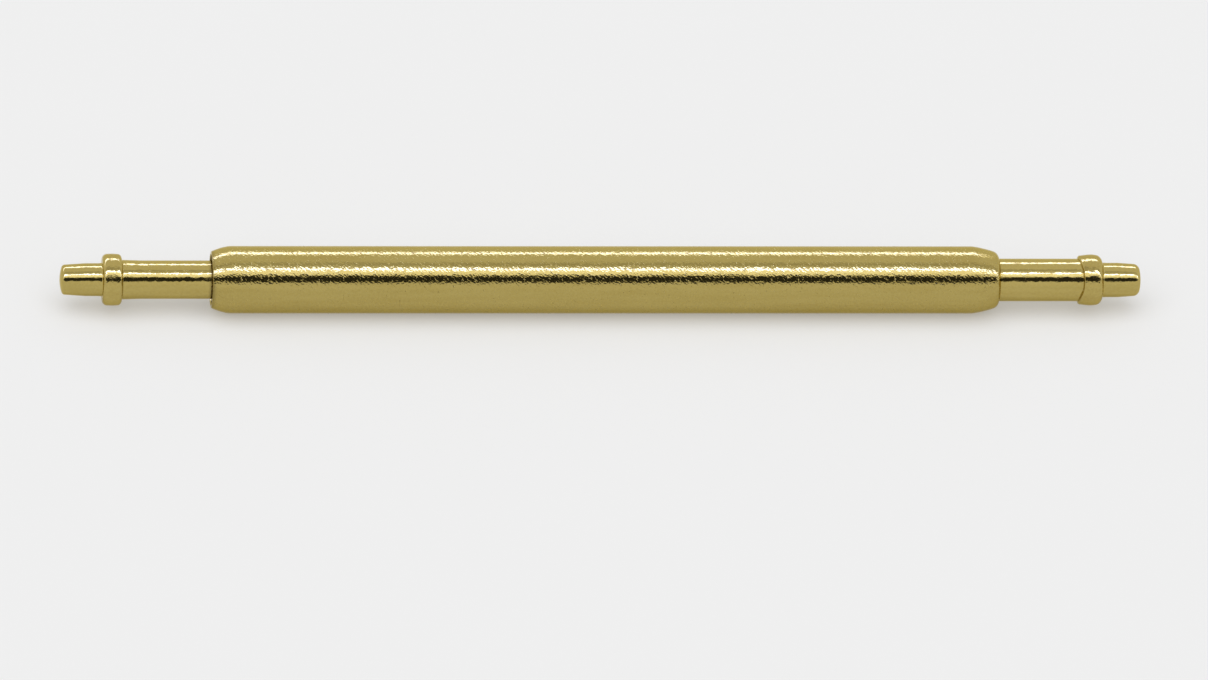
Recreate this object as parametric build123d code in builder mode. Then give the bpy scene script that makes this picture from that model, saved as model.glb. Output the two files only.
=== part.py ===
from build123d import *

import math
import os
from collections import namedtuple

# A double-ended spring bar, the pin that holds a strap between the lugs of a watch.
# A tube closed in at both ends holds a coil spring and two turned plungers. The
# spring pushes the plungers apart until their heads meet the closed ends. Pressed
# together, they shorten the bar, so that its tips can enter the holes in the lugs.
# Millimetres. +X runs along the bar to its right tip, +Z is up, and the origin is
# on the axis at the middle of the tube.

# Tube
barrel_length = 17.7
barrel_diameter = 1.5
barrel_wall = 0.15
lip_land = 0.15

# Left end of the tube, rolled over in a round curve
left_roll_length = 0.5
left_roll_drop = 0.15
left_lip_depth = 0.143

# Right end of the tube, pressed in as a straight cone with a round nose
right_cone_length = 0.655
right_cone_drop = 0.145
right_lip_depth = 0.094
right_nose_radius = 0.09

# Fits between the pieces
neck_clearance = 0.03
head_clearance = 0.03
seat_clearance = 0.012
spring_clearance = 0.03
spring_seat_gap = 0.02

# Left plunger
left_neck_reach = 1.934
left_shoulder_rise = 0.153
left_shoulder_length = 0.433
left_shoulder_rounding = 0.09
left_tip_diameter = 0.732
left_tip_length = 0.943
left_tip_taper = 0.034

# Right plunger
right_neck_reach = 1.786
right_shoulder_rise = 0.102
right_shoulder_length = 0.497
right_shoulder_rounding = 0.12
right_tip_diameter = 0.768
right_tip_length = 0.871
right_tip_taper = 0.032

# Details that both plungers share
tip_root_flare = 0.006
tip_root_length = 0.1
tip_land_length = 0.26
tip_dome_height = 0.06
tip_corner_radius = 0.08
head_length = 0.6
tail_length = 1.0
tail_diameter = 0.66
edge_chamfer = 0.05
rounding_limit_share = 0.65

# Spring
wire_diameter = 0.15
wire_sides = 6
spring_turns = 18
closed_turns = 1.5
closed_turn_gap = 0.04

# Sizes that follow
barrel_radius = barrel_diameter / 2
bore_radius = barrel_radius - barrel_wall
head_radius = bore_radius - head_clearance
LEFT, RIGHT = -1, 1

# How one end of the tube is closed in: the length that narrows, how far its outside
# drops, and how far its lip stands in from the bore
Closure = namedtuple("Closure", "length drop lip_depth")
closures = {
    LEFT: Closure(left_roll_length, left_roll_drop, left_lip_depth),
    RIGHT: Closure(right_cone_length, right_cone_drop, right_lip_depth),
}


def end_plane(side):
    """Plane on one end of the tube. Its X points out of the tube, and its Y is a radius."""
    return Plane(origin=(side * barrel_length / 2, 0, 0), x_dir=(side, 0, 0), z_dir=(0, -side, 0))


def lip_radius(side):
    """Radius of the hole that the neck slides through."""
    return bore_radius - closures[side].lip_depth


def head_front(side):
    """Depth of the head's front face, where its rim nearly meets the narrowing bore."""
    closure = closures[side]
    slope = closure.lip_depth / (closure.length - lip_land)
    return closure.length - (head_clearance - seat_clearance) / slope


# The tube is one turned outline: plain in the middle, rolled in at the left and
# coned in at the right. Its bore narrows along with the outside, down to a short
# straight lip round each neck.
with BuildPart() as barrel:
    with BuildSketch(Plane.XZ) as wall:
        with BuildLine():
            left_end = -barrel_length / 2
            right_end = barrel_length / 2
            roll_start = (left_end + left_roll_length, barrel_radius)
            roll_end = (left_end, barrel_radius - left_roll_drop)
            nose_corner = (right_end, barrel_radius - right_cone_drop)
            TangentArc(roll_start, roll_end, tangent=(-1, 0))
            Polyline(
                roll_end,
                (left_end, lip_radius(LEFT)),
                (left_end + lip_land, lip_radius(LEFT)),
                (left_end + left_roll_length, bore_radius),
                (right_end - right_cone_length, bore_radius),
                (right_end - lip_land, lip_radius(RIGHT)),
                (right_end, lip_radius(RIGHT)),
                nose_corner,
                (right_end - right_cone_length, barrel_radius),
                roll_start,
            )
        make_face()
        fillet(wall.vertices().sort_by_distance(nose_corner)[0], radius=right_nose_radius)
    revolve(axis=Axis.X)
barrel.part.label = "barrel"


def turned_plunger(side, neck_reach, shoulder, tip):
    """One plunger: tip, shoulder, neck, head and tail, turned from one rod.

    side: the end of the tube that it comes out of.
    neck_reach: bare neck between the tube and the shoulder, at rest.
    shoulder: its rise above the neck, its length and the rounding of its edges.
    tip: the diameter of its straight land, its length and how much its radius tapers.
    """
    shoulder_rise, shoulder_length, shoulder_rounding = shoulder
    tip_diameter, tip_length, tip_taper = tip
    neck_radius = lip_radius(side) - neck_clearance
    shoulder_radius = neck_radius + shoulder_rise
    tip_radius = tip_diameter / 2
    tail_radius = tail_diameter / 2
    front = -head_front(side)
    back = front - head_length
    tail_end = back - tail_length
    shoulder_end = neck_reach + shoulder_length
    root_end = shoulder_end + tip_root_length
    land_end = root_end + tip_land_length
    tip_end = shoulder_end + tip_length
    inner_corner = (neck_reach, shoulder_radius)
    outer_corner = (shoulder_end, shoulder_radius)
    tip_corner = (tip_end - tip_dome_height, tip_radius - tip_taper)

    with BuildPart() as plunger:
        with BuildSketch(end_plane(side)) as outline:
            with BuildLine():
                Polyline(
                    (tip_end, 0),
                    (tail_end, 0),
                    (tail_end, tail_radius - edge_chamfer),
                    (tail_end + edge_chamfer, tail_radius),
                    (back, tail_radius),
                    (back, head_radius - edge_chamfer),
                    (back + edge_chamfer, head_radius),
                    (front, head_radius),
                    (front, neck_radius),
                    (neck_reach, neck_radius),
                    inner_corner,
                    outer_corner,
                    (shoulder_end, tip_radius + tip_root_flare),
                    (root_end, tip_radius),
                    (land_end, tip_radius),
                    tip_corner,
                )
                TangentArc((tip_end, 0), tip_corner, tangent=(0, 1))
            make_face()
            # A rounding takes only part of the step that it stands on.
            inner_step = rounding_limit_share * shoulder_rise
            outer_step = rounding_limit_share * (shoulder_radius - tip_radius - tip_root_flare)
            for corner, radius in (
                (inner_corner, min(shoulder_rounding, inner_step)),
                (outer_corner, min(shoulder_rounding, outer_step)),
                (tip_corner, tip_corner_radius),
            ):
                fillet(outline.vertices().sort_by_distance(corner)[0], radius=radius)
        revolve(axis=Axis.X)
    return plunger


left_plunger = turned_plunger(
    LEFT,
    left_neck_reach,
    (left_shoulder_rise, left_shoulder_length, left_shoulder_rounding),
    (left_tip_diameter, left_tip_length, left_tip_taper),
)
left_plunger.part.label = "left_plunger"

right_plunger = turned_plunger(
    RIGHT,
    right_neck_reach,
    (right_shoulder_rise, right_shoulder_length, right_shoulder_rounding),
    (right_tip_diameter, right_tip_length, right_tip_taper),
)
right_plunger.part.label = "right_plunger"

# The spring fills the bore between the two heads. Its end turns lie nearly closed,
# and the turns between them share the rest of the length.
wire_radius = wire_diameter / 2
coil_radius = bore_radius - spring_clearance - wire_radius
spring_start = -barrel_length / 2 + head_front(LEFT) + head_length + spring_seat_gap + wire_radius
spring_end = barrel_length / 2 - head_front(RIGHT) - head_length - spring_seat_gap - wire_radius
closed_pitch = wire_diameter + closed_turn_gap
open_turns = spring_turns - 2 * closed_turns
open_pitch = (spring_end - spring_start - 2 * closed_turns * closed_pitch) / open_turns


def pitch_at(turn):
    """Climb of the coil per turn, at a place counted in turns from its left end."""
    closed = turn < closed_turns or turn > spring_turns - closed_turns
    return closed_pitch if closed else open_pitch


def coil_knots():
    """Points of the wire's centre line at each half turn, with the way it runs there."""
    knots = []
    along = spring_start
    steps = 2 * spring_turns
    for step in range(steps + 1):
        angle = math.pi * step
        behind = pitch_at((step - 1 / 2) / 2) if step > 0 else closed_pitch
        ahead = pitch_at((step + 1 / 2) / 2) if step < steps else closed_pitch
        climb = (behind + ahead) / 2
        point = Vector(along, coil_radius * math.cos(angle), coil_radius * math.sin(angle))
        around = 2 * math.pi * coil_radius
        heading = Vector(climb, -around * math.sin(angle), around * math.cos(angle)).normalized()
        knots.append((point, heading))
        along += ahead / 2
    return knots


def biarc_joint(start, heading, end, end_heading):
    """Where two arcs that leave one knot and reach the next meet, and the way they run there."""
    chord = end - start
    both = heading + end_heading
    spread = 2 * (1 - heading.dot(end_heading))
    reach = (math.sqrt(chord.dot(both) ** 2 + spread * chord.dot(chord)) - chord.dot(both)) / spread
    first = start + heading * reach
    second = end - end_heading * reach
    return (first + second) * (1 / 2), (second - first).normalized()


knots = coil_knots()
with BuildPart() as spring:
    with BuildLine() as coil:
        for (start, heading), (end, end_heading) in zip(knots, knots[1:]):
            joint, joint_heading = biarc_joint(start, heading, end, end_heading)
            TangentArc(start, joint, tangent=heading)
            TangentArc(joint, end, tangent=joint_heading)
    with BuildSketch(Plane(origin=knots[0][0], x_dir=(0, 1, 0), z_dir=knots[0][1])):
        RegularPolygon(radius=wire_radius, side_count=wire_sides)
    sweep(path=coil.line)
spring.part.label = "spring"

# The wire's turns must stay clear of each other.
turn_gap = min(
    (later[0] - earlier[0]).length - wire_diameter
    for earlier, later in zip(knots, knots[2:])
)
print(f"spring: {spring_turns} turns, open pitch {open_pitch:.3f} mm, least gap {turn_gap:.3f} mm")

os.makedirs("parts", exist_ok=True)
export_step(barrel.part, "parts/barrel.step")
export_step(left_plunger.part, "parts/left_plunger.step")
export_step(right_plunger.part, "parts/right_plunger.step")
export_step(spring.part, "parts/spring.step")
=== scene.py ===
"""Looks of a gold-coloured spring bar: a closed-in tube, two sprung plungers and the coil between them.

Everything stands in the part's own frame: +X runs along the bar to its right tip, +Z is
up, and the origin is on the axis at the middle of the tube. Sizes in the classes are in
millimetres, as a turner writes them, and become metres when a mesh is made.
"""

import logging
import math
from collections.abc import Callable, Mapping, Sequence
from dataclasses import dataclass, replace
from enum import Enum
from typing import Any

import bpy
import numpy as np
from mathutils import Matrix, Vector

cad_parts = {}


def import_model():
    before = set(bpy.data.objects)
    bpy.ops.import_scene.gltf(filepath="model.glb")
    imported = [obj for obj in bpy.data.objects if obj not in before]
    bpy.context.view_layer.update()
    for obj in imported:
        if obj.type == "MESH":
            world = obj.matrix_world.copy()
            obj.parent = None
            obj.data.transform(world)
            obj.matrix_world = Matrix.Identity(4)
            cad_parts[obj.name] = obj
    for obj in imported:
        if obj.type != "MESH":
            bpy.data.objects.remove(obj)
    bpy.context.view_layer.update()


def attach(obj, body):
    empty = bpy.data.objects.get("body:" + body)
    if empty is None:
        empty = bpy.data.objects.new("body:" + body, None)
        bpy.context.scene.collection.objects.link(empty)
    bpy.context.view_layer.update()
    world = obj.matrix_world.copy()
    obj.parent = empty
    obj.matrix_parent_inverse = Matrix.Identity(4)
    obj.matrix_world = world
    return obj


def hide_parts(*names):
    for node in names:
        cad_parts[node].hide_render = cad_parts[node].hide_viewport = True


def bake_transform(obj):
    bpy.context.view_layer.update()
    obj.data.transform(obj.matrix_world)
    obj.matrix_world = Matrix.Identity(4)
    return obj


LOG = logging.getLogger("spring_bar")

# One millimetre in metres
MM = 0.001

# The photograph's frame, in pixels
PHOTO_WIDTH = 1208
PHOTO_HEIGHT = 680

# Linear red, green and blue, and alpha
Colour = tuple[float, float, float, float]


class Side(Enum):
    """The end of the bar that a plunger comes out of. Its value is the way that X runs there."""

    LEFT = -1
    RIGHT = 1


class Lay(Enum):
    """How the fine marks of a finish run over a round piece."""

    SLANTED = "slanted"
    ALONG = "along"
    EVEN = "even"


# Node trees

# Numbers of the Mix node's sockets that take two colours and give the mixed one
FIRST_COLOUR = 6
SECOND_COLOUR = 7
MIXED_COLOUR = 2


@dataclass(frozen=True)
class Signal:
    """A number that varies over a surface. Python's operators on it add Math nodes.

    Args:
        bench: The bench whose node tree the number lives in.
        socket: The output that carries the number.
    """

    bench: "Bench"
    socket: bpy.types.NodeSocket

    def _with(self, operation: str, first: "Signal | float", second: "Signal | float") -> "Signal":
        """One Math node on two values."""
        node = self.bench.add("ShaderNodeMath", {"operation": operation}, {0: first, 1: second})
        return Signal(self.bench, node.outputs[0])

    def __add__(self, other: "Signal | float") -> "Signal":
        """This number plus another."""
        return self._with("ADD", self, other)

    def __radd__(self, other: float) -> "Signal":
        """A plain number plus this one."""
        return self._with("ADD", other, self)

    def __sub__(self, other: "Signal | float") -> "Signal":
        """This number less another."""
        return self._with("SUBTRACT", self, other)

    def __rsub__(self, other: float) -> "Signal":
        """A plain number less this one."""
        return self._with("SUBTRACT", other, self)

    def __mul__(self, other: "Signal | float") -> "Signal":
        """This number times another."""
        return self._with("MULTIPLY", self, other)

    def __rmul__(self, other: float) -> "Signal":
        """A plain number times this one."""
        return self._with("MULTIPLY", other, self)

    def __truediv__(self, other: "Signal | float") -> "Signal":
        """This number divided by another."""
        return self._with("DIVIDE", self, other)

    def __neg__(self) -> "Signal":
        """This number with its sign turned."""
        return self._with("MULTIPLY", self, -1.0)

    def bearing(self, across: "Signal") -> "Signal":
        """The angle, in radians, of the point that is this far up and that far across."""
        return self._with("ARCTAN2", self, across)

    def at_most(self, limit: "Signal | float") -> "Signal":
        """The smaller of this number and the limit."""
        return self._with("MINIMUM", self, limit)

    def at_least(self, limit: "Signal | float") -> "Signal":
        """The larger of this number and the limit."""
        return self._with("MAXIMUM", self, limit)

    def clamped(self) -> "Signal":
        """This number, kept from 0 to 1."""
        return self.at_most(1.0).at_least(0.0)

    def rise(self, start: float, end: float) -> "Signal":
        """A smooth climb from 0 to 1.

        Args:
            start: Where this number still gives 0.
            end: Where it gives 1.

        Returns:
            The climb.
        """
        node = self.bench.add(
            "ShaderNodeMapRange",
            {"interpolation_type": "SMOOTHSTEP"},
            {"Value": self, "From Min": start, "From Max": end},
        )
        return Signal(self.bench, node.outputs["Result"])


class Bench:
    """Adds nodes to one node tree and wires them up."""

    def __init__(self, tree: bpy.types.NodeTree) -> None:
        """Empties the tree that the nodes go into."""
        self.tree = tree
        tree.nodes.clear()

    def add(
        self,
        kind: str,
        settings: Mapping[str, Any] | None = None,
        sockets: Mapping[str | int, Any] | None = None,
    ) -> bpy.types.Node:
        """Adds a node.

        Args:
            kind: The node's type, as Blender names it.
            settings: Its own properties, which are set first.
            sockets: What goes into its inputs, by name or number: a Signal, an output or a value.

        Returns:
            The new node.
        """
        node = self.tree.nodes.new(kind)
        for name, value in (settings or {}).items():
            setattr(node, name, value)
        for name, value in (sockets or {}).items():
            source = value.socket if isinstance(value, Signal) else value
            if isinstance(source, bpy.types.NodeSocket):
                self.tree.links.new(source, node.inputs[name])
            else:
                node.inputs[name].default_value = source
        return node

    def millimetres(self) -> tuple[Signal, Signal, Signal]:
        """The place on the piece.

        Returns:
            Its X, Y and Z, in millimetres.
        """
        place = self.add("ShaderNodeTexCoord").outputs["Object"]
        split = self.add("ShaderNodeSeparateXYZ", sockets={"Vector": place})
        x, y, z = (Signal(self, split.outputs[axis]) / MM for axis in "XYZ")
        return x, y, z

    def plain(self, number: float) -> Signal:
        """A number that is the same everywhere.

        Args:
            number: Its value.

        Returns:
            The number as a signal.
        """
        node = self.add("ShaderNodeValue")
        node.outputs[0].default_value = number
        return Signal(self, node.outputs[0])

    def attribute(self, name: str) -> Signal:
        """A number that the mesh carries at its points."""
        node = self.add("ShaderNodeAttribute", {"attribute_name": name})
        return Signal(self, node.outputs["Fac"])

    def noise(self, place: Sequence[Signal | float], size: float, detail: float = 1.0) -> Signal:
        """Smooth noise round zero.

        Args:
            place: The three coordinates that it is read at, in millimetres.
            size: About how far apart its lumps lie, in millimetres.
            detail: How many finer layers are laid over it.

        Returns:
            Noise from about -0.5 to 0.5.
        """
        point = self.add("ShaderNodeCombineXYZ", sockets=dict(zip("XYZ", place)))
        node = self.add(
            "ShaderNodeTexNoise",
            {"noise_dimensions": "3D"},
            {"Vector": point.outputs[0], "Scale": 1 / size, "Detail": detail},
        )
        return Signal(self, node.outputs[0]) - 0.5

    def dimples(self, place: Sequence[Signal | float], size: float, stray: float = 1.0) -> Signal:
        """Uneven dimples, each a bowl whose height is the square of the distance from its middle.

        Args:
            place: The two or three coordinates that they are read at, in millimetres.
            size: About how far apart their middles lie, in millimetres.
            stray: How far their middles stray from even rows, from 0 to 1.

        Returns:
            Height from 0 in the middle of a dimple to about 0.6 where dimples meet.
        """
        point = self.add("ShaderNodeCombineXYZ", sockets=dict(zip("XYZ", place)))
        node = self.add(
            "ShaderNodeTexVoronoi",
            {"feature": "F1", "voronoi_dimensions": f"{len(place)}D"},
            {"Vector": point.outputs[0], "Scale": 1 / size, "Randomness": stray},
        )
        reach = Signal(self, node.outputs["Distance"])
        return reach * reach

    def tint(self, share: Signal, first: Any, second: Any) -> bpy.types.NodeSocket:
        """A colour between two.

        Args:
            share: Share of the second colour, from 0 to 1.
            first: The colour where the share is 0.
            second: The colour where it is 1.

        Returns:
            The output that carries the mixed colour.
        """
        colours = {0: share, FIRST_COLOUR: first, SECOND_COLOUR: second}
        node = self.add("ShaderNodeMix", {"data_type": "RGBA"}, colours)
        return node.outputs[MIXED_COLOUR]

    def bumped(self, height: Signal) -> bpy.types.NodeSocket:
        """The normal of the surface once it is raised by a height in millimetres."""
        node = self.add("ShaderNodeBump", sockets={"Strength": 1.0, "Distance": MM, "Height": height})
        return node.outputs["Normal"]


def opaque(red: float, green: float, blue: float) -> Colour:
    """A linear colour with its alpha."""
    return red, green, blue, 1.0


# Finishes


@dataclass(frozen=True)
class GoldPlate:
    """Gold-coloured plating over worked steel.

    The marks under the plating tilt the surface by a few degrees, so that the edges of
    each reflection turn ragged. Ripples, which are longer, make reflections wander.

    Args:
        name: The material's name.
        lay: How the marks run.
        mark_width: Width of a mark.
        mark_length: How many times longer than wide a mark is.
        mark_depth: Depth of the marks.
        mark_stray: How far the marks stray from even rows, from 0 to 1.
        mark_blur: How much duller the plating is between the marks.
        grain_size: Distance from one dimple of the grain to the next.
        grain_depth: Depth of the dimples.
        ripple_size: Distance from one ripple to the next.
        ripple_depth: Height of the ripples.
        roughness: Blur of the reflections.
        mark_level: Height of the marks' dimples that counts as the plain surface.
        slant: How far round the tube a slanted mark runs for each millimetre along it.
        girth: Radius at which the tube's surface is unrolled for slanted marks.
        grain_share: Share of x at which the grain is read, which draws its dimples out.
        ripple_share: Share of x at which the ripples are read, which draws them out.
        streak_width: Width of a streak of deeper colour.
        streak_length: How many times longer than wide a streak is.
        streak_tone: How much the streaks deepen the colour.
        streak_blur: How much duller the plating is in a streak.
        cloud_width: Width of a broad cloud of deeper colour.
        cloud_length: How many times longer than wide a cloud is.
        cloud_tone: How much the clouds deepen the colour.
        speck_size: Size of a speck of deeper colour.
        speck_tone: How much the specks deepen the colour.
        tone: How deep the colour is on the whole, from 0 to 1.
        fray: How much a rubbed edge breaks up along the marks.
        fray_level: How much of an edge is rubbed where its marks are level.
        wear: Share of the worn colour on a sharp edge.
        shade_level: How full of painted shade a corner is, before the clouds change that.
        painted_shade: Share of the painted shade's colour in a full corner.
        shade_blur: How much duller the plating is there.
        least_blur: Roughness that no place falls below.
        colour: Clean plating.
        deep: Plating where it is thickest.
        worn: Plating rubbed thin on an edge.
        shade_colour: Shade painted in corners, in recesses and where a neck leaves the tube.
        glancing: Colour that the plating takes on seen at a slant.
        lacquer: Share of the clear lacquer over it.
        lacquer_blur: Roughness of the lacquer.
    """

    name: str
    lay: Lay
    mark_width: float
    mark_length: float
    mark_depth: float
    mark_stray: float
    mark_blur: float
    grain_size: float
    grain_depth: float
    ripple_size: float
    ripple_depth: float
    roughness: float
    mark_level: float = 0.35
    slant: float = 0.5
    girth: float = 0.75
    grain_share: float = 0.8
    ripple_share: float = 0.6
    streak_width: float = 0.16
    streak_length: float = 14.0
    streak_tone: float = 1.5
    streak_blur: float = 0.05
    cloud_width: float = 0.5
    cloud_length: float = 2.0
    cloud_tone: float = 0.6
    speck_size: float = 0.05
    speck_tone: float = 1.6
    tone: float = 0.35
    fray: float = 1.6
    fray_level: float = 0.75
    wear: float = 0.4
    # Painted shade in corners and recesses: how full it is, its share of the colour, and how much it dulls
    shade_level: float = 0.85
    painted_shade: float = 0.9
    shade_blur: float = 0.12
    least_blur: float = 0.06
    colour: Colour = opaque(0.45, 0.352, 0.106)
    deep: Colour = opaque(0.40, 0.302, 0.080)
    worn: Colour = opaque(0.52, 0.42, 0.17)
    # Colour of the shade painted into corners and recesses
    shade_colour: Colour = opaque(0.08, 0.05, 0.012)
    glancing: Colour = opaque(0.88, 0.79, 0.47)
    lacquer: float = 0.2
    lacquer_blur: float = 0.06

    def marks_place(self, place: tuple[Signal, Signal, Signal]) -> tuple[Signal, ...]:
        """Where the marks are read.

        A coordinate divided by the mark's length draws the marks out that way. Slanted
        marks are read on the unrolled tube, whose seam is underneath, and keep to a
        helix there: the way round plus the slant times x is the same all along a mark.

        Args:
            place: The place on the piece.

        Returns:
            The two or three coordinates for the marks.
        """
        x, y, z = place
        if self.lay is Lay.SLANTED:
            return x / self.mark_length, y.bearing(z) * self.girth + x * self.slant
        if self.lay is Lay.ALONG:
            return x / self.mark_length, y, z
        return place

    def grain_place(self, place: tuple[Signal, Signal, Signal]) -> tuple[Signal, ...]:
        """Where the dimples of the grain are read.

        Args:
            place: The place on the piece.

        Returns:
            Two coordinates on the unrolled tube if the marks are slanted, or else three.
        """
        x, y, z = place
        if self.lay is Lay.SLANTED:
            return x * self.grain_share, y.bearing(z) * self.girth
        return x * self.grain_share, y, z

    def material(self) -> bpy.types.Material:
        """Builds the material from marks, ripples, streaks, worn edges and shade painted into the corners.

        Returns:
            The new material.
        """
        material = bpy.data.materials.new(self.name)
        material.use_nodes = True
        bench = Bench(material.node_tree)
        place = bench.millimetres()
        x, y, z = place
        marks = bench.dimples(self.marks_place(place), self.mark_width, self.mark_stray) - self.mark_level
        grain = bench.dimples(self.grain_place(place), self.grain_size)
        ripples = bench.noise((x * self.ripple_share, y, z), self.ripple_size)
        streaks = bench.noise((x / self.streak_length, y, z), self.streak_width, detail=2.0)
        clouds = bench.noise((x / self.cloud_length, y, z), self.cloud_width)
        specks = bench.noise(place, self.speck_size, detail=2.0)
        edge = bench.attribute("edge")
        fray = (marks * self.fray + self.fray_level).clamped()
        rubbed = (edge.at_least(0.0) * fray).at_most(1.0)
        # Painted shade: where the edge is below 0, in inner corners, in recesses and at a neck's mouth, the
        # colour darkens towards the shade colour
        corner = ((-edge).at_least(0.0) * (self.shade_level + clouds)).clamped()
        tone = streaks * self.streak_tone + clouds * self.cloud_tone + specks * self.speck_tone + self.tone
        colour = bench.tint(tone.clamped(), self.colour, self.deep)
        colour = bench.tint(rubbed * self.wear, colour, self.worn)
        colour = bench.tint(corner * self.painted_shade, colour, self.shade_colour)
        blur = self.roughness + marks * self.mark_blur + streaks * self.streak_blur + corner * self.shade_blur
        height = marks * self.mark_depth + grain * self.grain_depth + ripples * self.ripple_depth
        shader = bench.add(
            "ShaderNodeBsdfPrincipled",
            sockets={
                "Base Color": colour,
                "Metallic": 1.0,
                "Roughness": blur.at_least(self.least_blur),
                "Specular Tint": self.glancing,
                "Coat Weight": self.lacquer,
                "Coat Roughness": self.lacquer_blur,
                "Normal": bench.bumped(height),
            },
        )
        bench.add("ShaderNodeOutputMaterial", sockets={"Surface": shader.outputs[0]})
        return material


@dataclass(frozen=True)
class DrawnWire:
    """Bright steel wire with faint die lines along it.

    Args:
        name: The material's name.
        colour: Its clean colour.
        dull: Its colour where it is oily.
        roughness: Blur of the reflections.
        line_width: Width of a die line.
        line_length: How many times longer than wide a die line is.
        line_depth: Depth of the lines.
        line_blur: How much duller the wire is in a line.
        line_layer: Third coordinate at which the noise of the lines is read.
        oil_width: Width of a patch of oil.
        oil_length: How many times longer than wide a patch is.
        oil_start: Noise at which oil starts to dull the wire.
        oil_end: Noise at which it is all dull.
        oil_full: Noise at which oil blurs the reflections most.
        oil_blur: How much it blurs them there.
        oil_layer: Third coordinate at which the noise of the oil is read.
    """

    name: str = "drawn_wire"
    colour: Colour = opaque(0.56, 0.56, 0.54)
    dull: Colour = opaque(0.38, 0.37, 0.34)
    roughness: float = 0.22
    line_width: float = 0.03
    line_length: float = 9.0
    line_depth: float = 0.002
    line_blur: float = 0.15
    line_layer: float = 0.0
    oil_width: float = 0.4
    oil_length: float = 2.0
    oil_start: float = -0.1
    oil_end: float = 0.25
    oil_full: float = 0.3
    oil_blur: float = 0.12
    oil_layer: float = 3.0

    def material(self) -> bpy.types.Material:
        """Builds the material. It follows the wire by its UV map, which is in millimetres.

        Returns:
            The new material.
        """
        material = bpy.data.materials.new(self.name)
        material.use_nodes = True
        bench = Bench(material.node_tree)
        wrap = bench.add("ShaderNodeUVMap", {"uv_map": "wire"}).outputs[0]
        split = bench.add("ShaderNodeSeparateXYZ", sockets={"Vector": wrap})
        along = Signal(bench, split.outputs["X"])
        around = Signal(bench, split.outputs["Y"])
        line_place = (along / self.line_length, around, self.line_layer)
        lines = bench.noise(line_place, self.line_width, detail=2.0)
        oil_place = (along / self.oil_length, around, self.oil_layer)
        oil = bench.noise(oil_place, self.oil_width)
        oily = oil.rise(self.oil_start, self.oil_end)
        blur = lines * self.line_blur + oil.rise(0.0, self.oil_full) * self.oil_blur
        shader = bench.add(
            "ShaderNodeBsdfPrincipled",
            sockets={
                "Base Color": bench.tint(oily, self.colour, self.dull),
                "Metallic": 1.0,
                "Roughness": self.roughness + blur,
                "Normal": bench.bumped(lines * self.line_depth),
            },
        )
        bench.add("ShaderNodeOutputMaterial", sockets={"Surface": shader.outputs[0]})
        return material


DRAWN_GOLD = GoldPlate(
    "drawn_gold",
    Lay.SLANTED,
    mark_width=0.05,
    mark_length=1.2,
    mark_depth=0.0021,
    mark_stray=0.75,
    mark_blur=1.3,
    grain_size=0.04,
    grain_depth=0.0015,
    ripple_size=0.5,
    ripple_depth=0.0007,
    roughness=0.08,
)
TURNED_GOLD = GoldPlate(
    "turned_gold",
    Lay.ALONG,
    mark_width=0.05,
    mark_length=2.4,
    mark_depth=0.001,
    mark_stray=1.0,
    mark_blur=0.3,
    grain_size=0.036,
    grain_depth=0.0006,
    ripple_size=0.4,
    ripple_depth=0.001,
    roughness=0.08,
    colour=opaque(0.475, 0.372, 0.113),
    deep=opaque(0.42, 0.32, 0.086),
    # Colour of the shade painted where the neck leaves the tube and in inner corners
    shade_colour=opaque(0.15, 0.105, 0.03),
)
PRESSED_GOLD = replace(
    TURNED_GOLD,
    name="pressed_gold",
    lay=Lay.EVEN,
    mark_width=0.08,
    mark_length=1.0,
    mark_depth=0.003,
    mark_blur=0.06,
    grain_depth=0.0012,
    ripple_size=0.22,
    ripple_depth=0.008,
    roughness=0.10,
    deep=opaque(0.40, 0.30, 0.08),
)


# Shapes

# Longest step along an arc, in radians, the fewest steps that an arc has, and how far
# past its end an extra point stands
ARC_STEP = math.radians(7)
FEWEST_STEPS = 3
PAST_ARC = 0.004

# Rounding below which an outer edge is rubbed all the way, and how much shade is
# painted on the arc of an inner corner
RUBBED_ROUNDING = 0.025
INNER_SHADE = 0.3


@dataclass(frozen=True)
class Turn:
    """One corner of a turned outline.

    Args:
        along: Its place along the bar.
        radius: Its distance from the axis.
        rounding: Radius of the arc that rounds it, or 0 for a sharp one.
        painted_shade: How much shade is painted there, from 0 to 1.
    """

    along: float
    radius: float
    rounding: float = 0.0
    painted_shade: float = 0.0


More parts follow.
